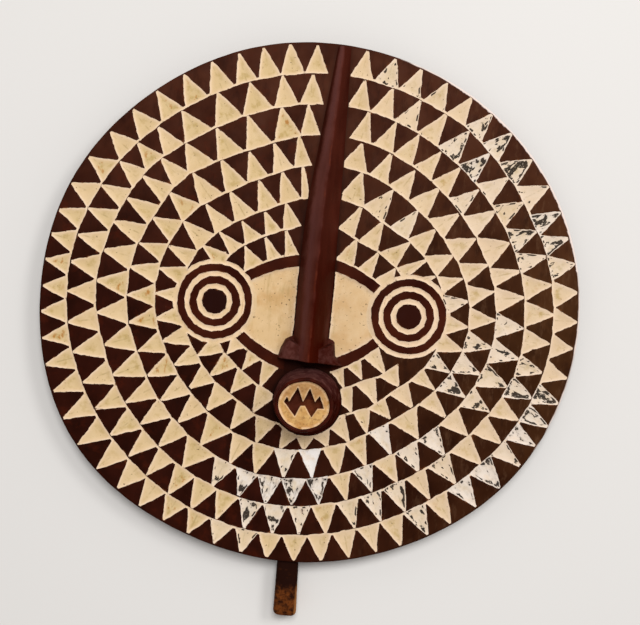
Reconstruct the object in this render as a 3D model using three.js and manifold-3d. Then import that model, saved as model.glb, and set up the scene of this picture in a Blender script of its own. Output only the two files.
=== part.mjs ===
// Sun mask: one round carved board with a long nose, two ringed eyes, a toothed mouth and a grip below.
// It lies on its back: +Z points out of the face, +Y up the nose, +X to the viewer's right.
// Lengths are in millimetres. Angles are in degrees and run clockwise from the top of the nose.
import * as THREE from 'three';
import { mergeVertices } from 'three/addons/utils/BufferGeometryUtils.js';
import Module from 'manifold-3d';

const wasm = await Module();
wasm.setup();

const toRadians = THREE.MathUtils.degToRad;

// The board
const boardThickness = 28;
const discRadius = 266.1;
const rimRounding = 2.4;
const rimSteps = 120;
// The hand-cut outline: how many times each wave goes round, its height and where it crests
const rimWaves = [
  [1, 2.8, 197], [2, 5.7, 82], [3, 1.55, 113], [4, 0.8, 53], [5, 0.3, 12], [6, 0.75, 55], [7, 0.45, 29],
];

// The rows of pointed chips, from the rim inwards: mean radius of a row's base line as a share of the
// disc's, how far the row hangs below the centre and lies to the right of it, how much wider than high it
// is and how square it is. Each run is the angle where it ends and the number of chips in it. Each bulge of
// the base line is an angle, a height and how many degrees it spreads. The innermost row stands on the
// edge of the face instead, and its chips point straight out from it.
const rows = [
  { share: 0.8885, drop: 3.6, aside: -0.7, wide: 6.5, square: 1.9, start: 4.5,
    runs: [[10.5, 1], [30, 3], [48, 3], [62.5, 2], [73.5, 2], [104.5, 5], [125.5, 4], [139, 2], [181, 7],
      [229.5, 8], [242.5, 2], [287.5, 8], [335.5, 7], [359, 4]],
    bulges: [[36, 2.4, 6], [63, -2.3, 6]] },
  { share: 0.7754, drop: 4.3, aside: -0.5, wide: 6.9, square: 2.6, start: 5,
    runs: [[12, 1], [71, 8], [77, 1], [98.5, 3], [124.5, 4], [140, 2], [214.5, 11], [227, 2], [277.5, 7],
      [316.5, 6], [344, 3], [358.5, 2]],
    bulges: [[105, 2.6, 8], [252, -2, 8], [304, 3.9, 10]] },
  { share: 0.6639, drop: 6.1, aside: 0.7, wide: 6.6, square: 3.0, start: 8,
    runs: [[63, 7], [73.5, 1], [79.5, 1], [145.5, 8], [206, 8], [217, 1], [239.5, 3], [283, 5], [312, 4],
      [351, 4], [358, 1]],
    bulges: [[246, -2.3, 8], [309, 6.2, 9], [337, -2.8, 8]] },
  { share: 0.5537, drop: 6.4, aside: 1.3, wide: 7.7, square: 3.9, start: 6.5,
    runs: [[19, 1], [28.5, 1], [69, 4], [129.5, 7], [142, 1], [188, 5], [205, 2], [217.5, 1], [271, 6],
      [287.5, 2], [347, 6], [354.5, 1]],
    bulges: [[162, 2.1, 8], [302, 4.2, 9], [338, -1.7, 8]] },
  { share: 0.4505, drop: 9.5, aside: 2.3, wide: 9.5, square: 4.2, start: 9.5,
    runs: [[39, 2], [72, 3], [125, 6], [146.5, 2], [189.5, 5], [234.5, 4], [290.5, 6], [312.5, 2], [349, 3],
      [354.3, 1]],
    bulges: [[38, -4.3, 11], [145, 4.3, 7], [211, -3.2, 9]] },
  { share: 0.3486, drop: 11.3, aside: 0.3, wide: 7.4, square: 3.0, start: 16,
    runs: [[61, 3], [77, 2], [122, 0], [161, 3], [195.5, 0], [222, 2], [244.5, 2], [286, 0], [307.5, 2], [347.5, 3]],
    bulges: [[34, -4.5, 14], [124, 8.6, 12], [214, -4.4, 14]] },
  { share: 0.2668, start: 21.5,
    runs: [[43, 1], [70.5, 2], [122.5, 0], [160, 3], [198.5, 0], [238.5, 3], [296.5, 0], [344, 3]] },
];
const rowTriangle = 1.1;
const triangleAngle = 90;
const wideAngle = 82;
const squareAngle = 8;
const chipDepth = 2.6;
const chipGap = 0.8;
const rimMargin = 2;
const chipUpright = 0.55;
const smallestChip = 15;

// The eyes: centre and the rings cut round each pupil, as inner and outer radius
const eyes = [{ x: -95, y: -9.2 }, { x: 99.8, y: -6.2 }];
const eyeGrooves = [[12.9, 18.2], [25.6, 30.6], [37.8, 42.2]];
const grooveDepth = 1.8;
const eyeClear = 43.4;
const eyeSteps = 40;

// The face between the eyes: two curved bands about the nose, with sunk panels between them
const faceAxis = 4;
const faceReach = 70;
const browTop = 45.9;
const browBand = 11.8;
const browBow = 0.0051;
const browTilt = -0.0385;
const cheekBottom = -72.8;
const cheekBand = 12.5;
const cheekBow = 0.0062;
const cheekTilt = 0.07;
const panelDepth = 1.8;
const panelNoseGap = 0.6;
const curveSteps = 14;

// The nose: stations down its ridge, as height on the mask, ridge line, half width and projection
const noseTopGap = 3.1;
const noseBottom = -59.3;
const noseStations = [
  { y: rimRadius(0) - noseTopGap, x: 10.5, half: 7.5, rise: 6 },
  { y: 134, x: 4.6, half: 15.4, rise: 18 },
  { y: 47, x: 4.2, half: 17.7, rise: 29 },
  { y: noseBottom, x: 4.4, half: 17.2, rise: 38 },
];
const noseRidge = 2.2;
const noseBulge = 1.16;
const noseShoulder = 0.58;
const nostrils = [{ x: -10.3, half: 17.3 }, { x: 20, half: 18.5 }];
const nostrilTop = -36;
const nostrilRise = 18;

// The mouth: a tapered tube with a sunk disc at its end and a zigzag opening in the disc
const mouth = { x: 6.5, y: -100, baseRadius: 34, endRadius: 28.2, rise: 48, leanX: -2.3, leanY: -0.8 };
const mouthLip = 4;
const mouthLipRounding = 1.6;
const mouthSink = 2.5;
const mouthSteps = 48;
const toothDepth = 14;
const mouthGap = 1.2;
const toothLine = [
  [-19.5, 1.6], [-17.2, 7.2], [-14.7, 2.2], [-7.5, 17.6], [-1.2, 3.2], [4.2, 17.7], [10.2, 4.2],
  [14.3, 11], [19.4, -1.8], [13.2, -2.2], [8, -11.9], [0.9, -0.4], [-3.6, -1], [-7.9, -12.2],
];

// The grip below the board, and how far it goes into the rim and stands out of it
const gripSunk = 17;
const gripReach = 55.4;
const gripTop = { x: 2.2, y: gripSunk - rimRadius(180), width: 21 };
const gripEnd = { x: 4.4, y: -gripReach - rimRadius(180), width: 23.6 };
const gripThickness = 17;
const gripCorner = 5;
const gripRounding = 2.5;

// The hollow cut into the back behind the face
const faceWall = 13;
const hollow = { x: 4, y: -24, halfWidth: 104, halfHeight: 128 };
const hollowSlope = 14;
const hollowSteps = 48;

// How far a cutter stands clear of the face that it cuts
const overcut = 1;
const chipOvercut = 0.3;

const front = boardThickness;

// Solids

function solid(geometry) {
  const bare = geometry.clone();
  bare.deleteAttribute('normal');
  bare.deleteAttribute('uv');
  const merged = mergeVertices(bare, 1e-4);
  return new wasm.Manifold(new wasm.Mesh({
    numProp: 3,
    vertProperties: new Float32Array(merged.attributes.position.array),
    triVerts: new Uint32Array(merged.index.array),
  }));
}

function union(solids) {
  return solids.reduce((whole, next) => whole.add(next));
}

function prism(points, bottom, top) {
  const shape = new THREE.Shape(points.map(([x, y]) => new THREE.Vector2(x, y)));
  const geometry = new THREE.ExtrudeGeometry(shape, { depth: top - bottom, bevelEnabled: false });
  return solid(geometry.translate(0, 0, bottom));
}

// A closed body through rings of equally many points, with flat ends
function loft(rings) {
  const count = rings[0].length;
  const positions = rings.flat(2);
  const faces = [];
  for (let ring = 0; ring + 1 < rings.length; ring += 1) {
    for (let i = 0; i < count; i += 1) {
      const a = ring * count + i;
      const b = ring * count + ((i + 1) % count);
      faces.push(a, b, b + count, a, b + count, a + count);
    }
  }
  const last = (rings.length - 1) * count;
  for (let i = 1; i + 1 < count; i += 1) {
    faces.push(0, i + 1, i, last, last + i, last + i + 1);
  }
  const geometry = new THREE.BufferGeometry();
  geometry.setAttribute('position', new THREE.Float32BufferAttribute(positions, 3));
  geometry.setIndex(faces);
  return solid(geometry);
}

// Outlines, by angle from the top

function polar(radius, angle) {
  return [radius * Math.sin(toRadians(angle)), radius * Math.cos(toRadians(angle))];
}

function rimRadius(angle) {
  return rimWaves.reduce(
    (radius, [times, height, crest]) => radius + height * Math.cos(toRadians(times * (angle - crest))),
    discRadius,
  );
}

function meanRadius(row) {
  return row.share * discRadius;
}

// Where a ray from the centre leaves the face between the eyes, found by halving
function faceFarSide(angle) {
  let near = 0;
  let far = discRadius / 2;
  for (let i = 0; i < 24; i += 1) {
    const half = (near + far) / 2;
    const [x, y] = polar(half, angle);
    const inFace = cheekLine(x) < y && y < browLine(x);
    [near, far] = inFace ? [half, far] : [near, half];
  }
  return near;
}

function rowRadius(row, angle) {
  if (row === rows.at(-1)) {
    return faceFarSide(angle);
  }
  const off = row.aside * Math.sin(toRadians(angle)) - row.drop * Math.cos(toRadians(angle));
  const wide = row.wide * Math.cos(toRadians(2 * (angle - wideAngle)));
  const triangle = rowTriangle * Math.cos(toRadians(3 * (angle - triangleAngle)));
  const square = row.square * Math.cos(toRadians(4 * (angle - squareAngle)));
  const bulge = row.bulges.reduce((sum, [middle, height, spread]) => (
    sum + height * Math.exp(-(((angle - middle) / spread) ** 2))), 0);
  const radius = meanRadius(row) + off + wide + triangle + square + bulge;
  const passesBelowMouth = meanRadius(row) > Math.hypot(mouth.x, mouth.y);
  return passesBelowMouth ? Math.max(radius, mouthFarSide(angle)) : radius;
}

// Where a ray from the centre leaves the mouth, for a base line that runs round it
function mouthFarSide(angle) {
  const [dx, dy] = polar(1, angle);
  const along = mouth.x * dx + mouth.y * dy;
  const aside = Math.abs(mouth.x * dy - mouth.y * dx);
  const reach = mouth.baseRadius + mouthGap;
  return along > 0 && aside < reach ? along + Math.sqrt(reach * reach - aside * aside) : 0;
}

function browLine(x) {
  return browTop + browTilt * (x - faceAxis) - browBow * (x - faceAxis) ** 2;
}

function cheekLine(x) {
  return cheekBottom + cheekTilt * (x - faceAxis) + cheekBow * (x - faceAxis) ** 2;
}

// The lens between two curves over the face
function faceLens(upper, lower) {
  const across = Array.from({ length: curveSteps + 1 }, (_, i) => (
    faceAxis - faceReach + (2 * faceReach * i) / curveSteps));
  return [
    ...across.map((x) => [x, lower(x)]),
    ...across.reverse().map((x) => [x, upper(x)]),
  ];
}

function circle(centre, radius, steps) {
  return Array.from({ length: steps }, (_, i) => {
    const [dx, dy] = polar(radius, -(360 * i) / steps);
    return [centre.x + dx, centre.y + dy];
  });
}

function noseOutline(margin) {
  const left = noseStations.map(({ x, y, half }) => [x - half - margin, y]);
  const right = noseStations.map(({ x, y, half }) => [x + half + margin, y]);
  return [...left, ...right.reverse()];
}

// The board with its rounded rim
function board() {
  const outline = Array.from({ length: rimSteps }, (_, i) => {
    const angle = -(360 * i) / rimSteps;
    return new THREE.Vector2(...polar(rimRadius(angle), angle));
  });
  const geometry = new THREE.ExtrudeGeometry(new THREE.Shape(outline), {
    depth: boardThickness - 2 * rimRounding,
    bevelThickness: rimRounding,
    bevelSize: rimRounding,
    bevelOffset: -rimRounding,
    bevelSegments: 2,
  });
  return solid(geometry.translate(0, 0, rimRounding));
}

// A chip is an upside-down pyramid whose three slopes meet under the middle of the triangle
function chip(corners) {
  const middle = [0, 1].map((axis) => (corners[0][axis] + corners[1][axis] + corners[2][axis]) / 3);
  const spread = (chipDepth + chipOvercut) / chipDepth;
  const top = corners.map(([x, y]) => [
    middle[0] + (x - middle[0]) * spread, middle[1] + (y - middle[1]) * spread, front + chipOvercut]);
  const geometry = new THREE.BufferGeometry();
  const points = [...top, [...middle, front - chipDepth]].flat();
  geometry.setAttribute('position', new THREE.Float32BufferAttribute(points, 3));
  geometry.setIndex([0, 1, 2, 1, 0, 3, 2, 1, 3, 0, 2, 3]);
  return solid(geometry);
}

// The edges between a row's chips, as pairs of angles
function chipEdges(row) {
  const pairs = [];
  let from = row.start;
  row.runs.forEach(([end, count]) => {
    for (let i = 0; i < count; i += 1) {
      const step = (end - from) / count;
      pairs.push([from + i * step, from + (i + 1) * step]);
    }
    from = end;
  });
  return pairs;
}

// A chip points nearly straight out from its base line, so where the line slopes its base lies to one side
function chipLean(row, angle, outer) {
  const slope = (rowRadius(row, angle + 2) - rowRadius(row, angle - 2)) / (4 * meanRadius(row));
  const upright = row === rows.at(-1) ? 1 : chipUpright;
  return -slope * upright * (1 - rowRadius(row, angle) / outer) * THREE.MathUtils.RAD2DEG ** 2;
}

function chips() {
  return rows.flatMap((row, index) => chipEdges(row).map(([first, second]) => {
    const middle = (first + second) / 2;
    const outer = index === 0
      ? rimRadius(middle) - rimRounding - rimMargin
      : rowRadius(rows[index - 1], middle);
    const inset = THREE.MathUtils.radToDeg(chipGap / 2 / meanRadius(row));
    const lean = chipLean(row, middle, outer);
    const ends = [first + inset - lean, second - inset - lean];
    const base = ends.map((angle) => polar(rowRadius(row, angle), angle));
    return [polar(outer - chipGap, middle), ...base];
  }));
}

// Everything on the face that the rows of chips stop at
function face() {
  const lens = faceLens(browLine, cheekLine);
  const outlines = [
    lens,
    noseOutline(chipGap),
    circle(mouth, mouth.baseRadius + chipGap, mouthSteps),
    ...eyes.map((eye) => circle(eye, eyeClear, eyeSteps)),
  ];
  return union(outlines.map((outline) => prism(outline, front - 2 * chipDepth, front + 2 * overcut)));
}

// A ring with a V section, cut round a pupil
function ringGroove(eye, [inner, outer]) {
  const middle = (inner + outer) / 2;
  const flare = ((outer - inner) / 2) * (overcut / grooveDepth);
  const section = [
    [inner - flare, front + overcut], [middle, front - grooveDepth], [outer + flare, front + overcut],
  ];
  section.push(section[0]);
  const geometry = new THREE.LatheGeometry(section.map(([r, z]) => new THREE.Vector2(r, z)), eyeSteps);
  return solid(geometry.rotateX(Math.PI / 2).translate(eye.x, eye.y, 0));
}

// The sunk panels, from band to band, stopping in the outermost groove of each eye
function panels() {
  const grooveMiddle = (eyeGrooves.at(-1)[0] + eyeGrooves.at(-1)[1]) / 2;
  const lens = prism(
    faceLens((x) => browLine(x) - browBand, (x) => cheekLine(x) + cheekBand),
    front - panelDepth, front + overcut,
  );
  const keep = union([
    ...eyes.map((eye) => prism(circle(eye, grooveMiddle, eyeSteps), 0, front + 2 * overcut)),
    prism(noseOutline(-panelNoseGap), 0, front + 2 * overcut),
  ]);
  return lens.subtract(keep);
}

function nose() {
  const foot = front - panelDepth - overcut;
  const sections = noseStations.map(({ x, y, half, rise }) => {
    const shoulder = (half * noseBulge) / 2;
    return [
      [x + half, y, foot], [x + half, y, front], [x + shoulder, y, front + rise * noseShoulder],
      [x + noseRidge / 2, y, front + rise], [x - noseRidge / 2, y, front + rise],
      [x - shoulder, y, front + rise * noseShoulder], [x - half, y, front], [x - half, y, foot],
    ];
  });
  return loft(sections);
}

// A nostril: a rounded lump beside the ridge, flat below
function nostril({ x, half }) {
  const height = nostrilTop - noseBottom;
  const lump = new THREE.SphereGeometry(1, 16, 12);
  lump.scale(half, height, nostrilRise + panelDepth);
  lump.translate(x, noseBottom, front - panelDepth);
  const span = half + overcut;
  const window = [[x - span, noseBottom], [x + span, noseBottom], [x + span, front], [x - span, front]];
  return solid(lump).intersect(prism(window, front - panelDepth - overcut, front + 2 * nostrilRise));
}

function mouthTube() {
  const end = mouth.rise;
  const discRadiusIn = mouth.endRadius - mouthLip;
  const profile = [
    [0, -chipDepth], [mouth.baseRadius, -chipDepth], [mouth.baseRadius, 0],
    [mouth.endRadius, end - mouthLipRounding], [mouth.endRadius - mouthLipRounding, end],
    [discRadiusIn, end], [discRadiusIn, end - mouthSink], [0, end - mouthSink],
  ];
  const tube = new THREE.LatheGeometry(profile.map(([r, z]) => new THREE.Vector2(r, z)), mouthSteps);
  tube.rotateX(Math.PI / 2);
  const lean = new THREE.Matrix4();
  lean.set(
    1, 0, mouth.leanX / end, mouth.x,
    0, 1, mouth.leanY / end, mouth.y,
    0, 0, 1, front,
    0, 0, 0, 1,
  );
  return solid(tube.applyMatrix4(lean));
}

function mouthOpening() {
  const centre = [mouth.x + mouth.leanX, mouth.y + mouth.leanY];
  const outline = toothLine.map(([x, y]) => [x + centre[0], y + centre[1]]).reverse();
  const floor = front + mouth.rise - mouthSink - toothDepth;
  return prism(outline, floor, front + mouth.rise + overcut);
}

function grip() {
  const shape = new THREE.Shape();
  const half = gripEnd.width / 2;
  shape.moveTo(gripTop.x - gripTop.width / 2, gripTop.y);
  shape.lineTo(gripEnd.x - half, gripEnd.y + gripCorner);
  shape.quadraticCurveTo(gripEnd.x - half, gripEnd.y, gripEnd.x - half + gripCorner, gripEnd.y);
  shape.lineTo(gripEnd.x + half - gripCorner, gripEnd.y);
  shape.quadraticCurveTo(gripEnd.x + half, gripEnd.y, gripEnd.x + half, gripEnd.y + gripCorner);
  shape.lineTo(gripTop.x + gripTop.width / 2, gripTop.y);
  const geometry = new THREE.ExtrudeGeometry(shape, {
    depth: gripThickness - 2 * gripRounding,
    bevelThickness: gripRounding,
    bevelSize: gripRounding,
    bevelOffset: -gripRounding,
    bevelSegments: 2,
    curveSegments: 4,
  });
  return solid(geometry.translate(0, 0, (boardThickness - gripThickness) / 2 + gripRounding));
}

// The hollow behind the face, an oval with sloping sides
function hollowCutter() {
  const depth = boardThickness - faceWall;
  const slope = (hollowSlope * (depth + overcut)) / depth;
  const wall = new THREE.CylinderGeometry(1, 1, depth + overcut, hollowSteps).rotateX(Math.PI / 2);
  const place = wall.attributes.position;
  for (let i = 0; i < place.count; i += 1) {
    const inset = place.getZ(i) > 0 ? hollowSlope : hollowSlope - slope;
    place.setX(i, place.getX(i) * (hollow.halfWidth - inset));
    place.setY(i, place.getY(i) * (hollow.halfHeight - inset));
  }
  return solid(wall.translate(hollow.x, hollow.y, (depth - overcut) / 2));
}

// The chips as cut, each stopping at the face, without those that it leaves too small to carve
function rowsOfChips() {
  const stop = face();
  const cut = chips().map((corners) => chip(corners).subtract(stop));
  return union(cut.filter((piece) => piece.volume() > smallestChip));
}

function carve() {
  const grooves = union(eyes.flatMap((eye) => eyeGrooves.map((groove) => ringGroove(eye, groove))));
  return board()
    .add(grip())
    .subtract(rowsOfChips())
    .subtract(grooves)
    .subtract(panels())
    .subtract(hollowCutter())
    .add(nose())
    .add(union(nostrils.map(nostril)))
    .add(mouthTube())
    .subtract(mouthOpening());
}

function toMesh(name, body, material) {
  const { vertProperties, triVerts } = body.getMesh();
  const geometry = new THREE.BufferGeometry();
  geometry.setAttribute('position', new THREE.BufferAttribute(new Float32Array(vertProperties), 3));
  geometry.setIndex(new THREE.BufferAttribute(new Uint32Array(triVerts), 1));
  const faceted = geometry.toNonIndexed();
  faceted.computeVertexNormals();
  const mesh = new THREE.Mesh(faceted, material);
  mesh.name = name;
  return mesh;
}

const paintedWood = new THREE.MeshStandardMaterial({ color: 0x3a1c14, roughness: 0.55, metalness: 0 });
const mask = toMesh('sun_mask', carve(), paintedWood);

// The origin is under the middle of the lying mask
const group = new THREE.Group();
mask.geometry.computeBoundingBox();
const middle = mask.geometry.boundingBox.getCenter(new THREE.Vector3());
mask.position.set(-middle.x, -middle.y, -mask.geometry.boundingBox.min.z);
group.add(mask);

export default group;
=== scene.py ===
import math

import bpy
import numpy as np
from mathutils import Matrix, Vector, noise
from mathutils.geometry import delaunay_2d_cdt
from mathutils.kdtree import KDTree


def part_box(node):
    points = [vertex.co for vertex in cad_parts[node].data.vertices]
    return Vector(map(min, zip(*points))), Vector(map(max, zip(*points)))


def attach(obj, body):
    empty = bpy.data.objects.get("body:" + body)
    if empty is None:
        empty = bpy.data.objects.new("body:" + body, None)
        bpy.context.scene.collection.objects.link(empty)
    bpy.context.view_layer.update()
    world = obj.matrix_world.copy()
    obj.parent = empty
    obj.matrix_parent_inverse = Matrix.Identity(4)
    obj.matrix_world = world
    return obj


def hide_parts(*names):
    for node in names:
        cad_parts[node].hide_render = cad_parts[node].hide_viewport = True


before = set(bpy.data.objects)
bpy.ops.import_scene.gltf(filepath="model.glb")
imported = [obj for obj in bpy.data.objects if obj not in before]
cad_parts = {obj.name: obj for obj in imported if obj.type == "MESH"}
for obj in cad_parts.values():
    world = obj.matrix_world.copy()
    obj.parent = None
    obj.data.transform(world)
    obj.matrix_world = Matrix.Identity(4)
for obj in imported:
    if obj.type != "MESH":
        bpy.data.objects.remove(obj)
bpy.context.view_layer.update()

BODY = "root"
NODE = "sun_mask"

# Lengths here are in millimetres about the middle of the disc: +X to the viewer's right, +Y up the nose,
# +Z out of the face. Angles are in degrees and run clockwise from the top of the nose.
MM = 0.001

# The board
FRONT = 28.0
DISC_RADIUS = 266.1
RIM_ROUNDING = 1.6
RIM_STEPS = 720
RIM_SETBACK = 0.1
RIM_ANGLES = [k * 360 / RIM_STEPS for k in range(RIM_STEPS)]
RIM_WAVES = [
    (1, 2.8, 197), (2, 5.7, 82), (3, 1.55, 113), (4, 0.8, 53), (5, 0.3, 12), (6, 0.75, 55), (7, 0.45, 29)]
SIDE_STEPS = 7
# The painted front lies a little under the board's full thickness, swells gently and shows tool marks
FRONT_SINK = 0.45
SWELL, SWELL_SIZE = 0.35, 55.0
TOOL_MARK_SIZE = 9.0
RIM_NICK = 0.3

# The rows of pointed chips, from the rim inwards: the base line's mean radius, drop below the centre, shift
# to the right, width, squareness, runs of chips as the angle where each ends and its count, and bulges as
# angle, height and spread. The innermost row stands on the face's edge.
ROWS = [
    dict(radius=0.8885 * DISC_RADIUS, drop=3.6, aside=-0.7, wide=6.5, square=1.9, start=4.5,
         runs=[(10.5, 1), (30, 3), (48, 3), (62.5, 2), (73.5, 2), (104.5, 5), (125.5, 4), (139, 2), (181, 7),
               (229.5, 8), (242.5, 2), (287.5, 8), (335.5, 7), (359, 4)],
         bulges=[(36, 2.4, 6), (63, -2.3, 6)]),
    dict(radius=0.7754 * DISC_RADIUS, drop=4.3, aside=-0.5, wide=6.9, square=2.6, start=5,
         runs=[(12, 1), (71, 8), (77, 1), (98.5, 3), (124.5, 4), (140, 2), (214.5, 11), (227, 2), (277.5, 7),
               (316.5, 6), (344, 3), (358.5, 2)],
         bulges=[(105, 2.6, 8), (252, -2, 8), (304, 3.9, 10)]),
    dict(radius=0.6639 * DISC_RADIUS, drop=6.1, aside=0.7, wide=6.6, square=3.0, start=8,
         runs=[(63, 7), (73.5, 1), (79.5, 1), (145.5, 8), (206, 8), (217, 1), (239.5, 3), (283, 5), (312, 4),
               (351, 4), (358, 1)],
         bulges=[(246, -2.3, 8), (309, 6.2, 9), (337, -2.8, 8)]),
    dict(radius=0.5537 * DISC_RADIUS, drop=6.4, aside=1.3, wide=7.7, square=3.9, start=6.5,
         runs=[(19, 1), (28.5, 1), (69, 4), (129.5, 7), (142, 1), (188, 5), (205, 2), (217.5, 1), (271, 6),
               (287.5, 2), (347, 6), (354.5, 1)],
         bulges=[(162, 2.1, 8), (302, 4.2, 9), (338, -1.7, 8)]),
    dict(radius=0.4505 * DISC_RADIUS, drop=9.5, aside=2.3, wide=9.5, square=4.2, start=9.5,
         runs=[(39, 2), (72, 3), (125, 6), (146.5, 2), (189.5, 5), (234.5, 4), (290.5, 6), (312.5, 2),
               (349, 3), (353.6, 1)],
         bulges=[(38, -4.3, 11), (145, 4.3, 7), (211, -3.2, 9)]),
    dict(radius=0.3486 * DISC_RADIUS, drop=11.3, aside=0.3, wide=7.4, square=3.0, start=16,
         runs=[(61, 3), (77, 2), (122, 0), (161, 3), (195.5, 0), (222, 2), (244.5, 2), (286, 0), (307.5, 2),
               (347.5, 3)],
         bulges=[(34, -4.5, 14), (124, 8.6, 12), (214, -4.4, 14)]),
    dict(radius=0.2668 * DISC_RADIUS, start=21.5,
         runs=[(43, 1), (70.5, 2), (122.5, 0), (160, 3), (198.5, 0), (238.5, 3), (296.5, 0), (344, 3)]),
]
WIDE_ANGLE = 82
SQUARE_ANGLE = 8
TRIANGLE_HEIGHT, TRIANGLE_ANGLE = 1.1, 90
CHIP_DEPTH = 2.6
CHIP_SLOPE = 0.45
CHIP_TIP = 2.6
CHIP_UPRIGHT = 0.55
BASE_STRIP = 2.1
EDGE_STEP = 1.7
GRID_STEP = 2.35
ROW_GAP = 0.3
EDGE_RISE, EDGE_REACH = 0.22, 0.9
# Beyond this far from a painted line, and beside a chip's axis, the paint takes no notice of them
FAR_IN, OFF_CHIP = 12, 9.0
BACK_STEP = 6.0

# Chips whose cream has flaked or is whiter, by row: angle, how much has flaked and how white it is
WORN_CHIPS = {
    1: [(14, 0.45, 0.2), (20, 0.3, 0.1), (27, 0.4, 0.1), (38.5, 0.85, 0.3), (45, 1.0, 0.4), (51.5, 0.9, 0.3),
        (58.5, 0.4, 0.2), (65, 1.0, 0.5), (70, 0.9, 0.4), (76.5, 0.5, 0.2), (107, 0.8, 0.4),
        (112.5, 0.95, 0.5), (118, 0.6, 0.6), (123, 0.35, 0.3), (129, 0.5, 0.6), (136, 0.5, 0.6),
        (148, 0.5, 0.3), (-170, 0.35, 0.2), (-165, 0.3, 0.2)],
    2: [(23, 0.3, 0.1), (37, 0.7, 0.3), (45, 0.9, 0.5), (52, 0.4, 0.2), (60, 0.35, 0.1), (67.5, 1.0, 0.3),
        (74, 0.4, 0.2), (102, 0.5, 0.2), (108, 0.95, 0.4), (136, 0.5, 0.2), (150.5, 0.9, 0.3),
        (157, 0.75, 0.4), (163.5, 0.3, 0.2), (177, 0.6, 0.4), (-176, 0.5, 0.5), (-169, 0.65, 0.5)],
    3: [(51, 0.45, 0.2), (60, 0.3, 0.1), (91, 0.4, 0.3), (100, 0.55, 0.3), (108, 0.5, 0.2), (116.5, 0.4, 0.2),
        (132.5, 0.85, 0.5), (140.5, 0.6, 0.4), (157.5, 0.6, 0.5), (171.5, 0.75, 0.75), (179.5, 0.85, 0.75),
        (-173, 0.9, 0.75), (-166, 0.6, 0.7), (-158, 0.35, 0.3)],
    4: [(98.5, 0.5, 0.2), (108, 0.5, 0.3), (116, 0.6, 0.4), (148, 0.3, 0.6), (175, 0.15, 1.0),
        (-176, 0.45, 0.5)],
    5: [(84, 0.4, 0.2), (110, 0.4, 0.3), (45, 0.3, 0.2), (31, 0.3, 0.1)],
}
# How many degrees from a listed angle its chip's middle may lie
WORN_REACH = 3.2

# The eyes, and the cream rings cut round their pupils
EYES = [(-95.0, -9.2), (99.8, -6.2)]
EYE_RINGS = [(12.9, 18.2), (25.6, 30.6), (37.8, 42.2)]
GROOVE_DEPTH = 1.8

# A stray block of cream against the left eye's outermost ring
STRAY_BLOCK = [(-108.3, 40.8), (-101, 30.7), (-89.6, 33.0), (-88, 40.5)]

# The face between the eyes
FACE_AXIS = 4.0
FACE_REACH = 70.0
BROW_TOP = 45.9
BROW_BAND = 11.8
BROW_BOW = 0.0051
BROW_TILT = -0.0385
CHEEK_BOTTOM = -72.8
CHEEK_BAND = 12.5
CHEEK_BOW = 0.0062
CHEEK_TILT = 0.07
PANEL_DEPTH = 1.8

# The nose: height on the mask, ridge line, half width and projection
NOSE_STATIONS = [
    (256, 10.5, 6.8, 6), (147, 6.6, 13.6, 17), (88, 4.2, 16.9, 24), (47, 4.2, 17.7, 29), (-59, 4.4, 17.2, 38)]
NOSE_BOTTOM = -59.3
NOSE_TILT = -0.035
NOSE_COLUMNS = 61
NOSE_SEAT, NOSE_ROOT = 0.6, 4
NOSE_MARGIN = 0.9
RIDGE = 1.6
# How far the nostrils stand out beyond the nose's foot, down their left and right sides
NOSTRIL_TOP = -36.0
NOSTRIL_RISE = (17, 19)
NOSTRIL_ROUNDING = 12
NOSTRIL_LEFT = [(-36, 0), (-39, 5.5), (-41, 8), (-50, 12), (-59.3, 14.2)]
NOSTRIL_RIGHT = [(-34.5, 0), (-36.5, 5.2), (-38, 6.8), (-51.5, 8.8), (-55, 13), (-59.3, 16.4)]

# The mouth
MOUTH_X, MOUTH_Y = 6.5, -100.0
MOUTH_BASE, MOUTH_END, MOUTH_RISE = 34.0, 28.2, 48.0
MOUTH_LEAN = (-2.3, -0.8)
MOUTH_SQUASH = 0.935
MOUTH_LIP = 4.0
LIP_ROUNDING = 1.6
MOUTH_SINK = 2.5
MOUTH_ROOT = 4.0
MOUTH_ROOM = 1.2
MOUTH_MARGIN = 0.8
MOUTH_STEPS = 120
WALL_STEPS = 16
DISC_STEP = 1.3
DISC_EDGE = MOUTH_END - MOUTH_LIP
DISC_LEVEL = MOUTH_RISE - MOUTH_SINK
TOOTH_DEPTH = 14.0
# The mouth's parts, in the order of its paints
TUBE, DISC, INSIDE, LIP = range(4)
TOOTH_LINE = [
    (-19.5, 1.6), (-17.2, 7.2), (-14.7, 2.2), (-7.5, 17.6), (-1.2, 3.2), (4.2, 17.7), (10.2, 4.2),
    (14.3, 11.0), (19.4, -1.8), (13.2, -2.2), (8.0, -11.9), (0.9, -0.4), (-3.6, -1), (-7.9, -12.2),
]

# The grip
GRIP_SUNK, GRIP_REACH = 17.0, 55.4
GRIP_THICKNESS = 17.0
GRIP_MIDDLE = 14.0
GRIP_CORNER = 5.0
GRIP_SQUARE = 0.42
GRIP_STEPS = 40

# The hollow in the back
HOLLOW = (4.0, -24.0, 104.0, 128.0)
HOLLOW_DEPTH = 15.0
HOLLOW_SLOPE = 14.0
HOLLOW_STEPS = 180

# The camera looks straight down from above the face
CAMERA_SPOT = (11.06, -10.49)
CAMERA_DISTANCE = 1200.0
CAMERA_ROLL = 5.5
SENSOR = 36.0
FRAME_WIDTH = 640.0

rng = np.random.default_rng(7)


# Curves of the layout

def polar(radius, angle):
    return radius * math.sin(math.radians(angle)), radius * math.cos(math.radians(angle))


def cosine(degrees):
    return math.cos(math.radians(degrees))


def rim_radius(angle):
    return DISC_RADIUS + sum(h * cosine(n * (angle - crest)) for n, h, crest in RIM_WAVES)


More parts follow.
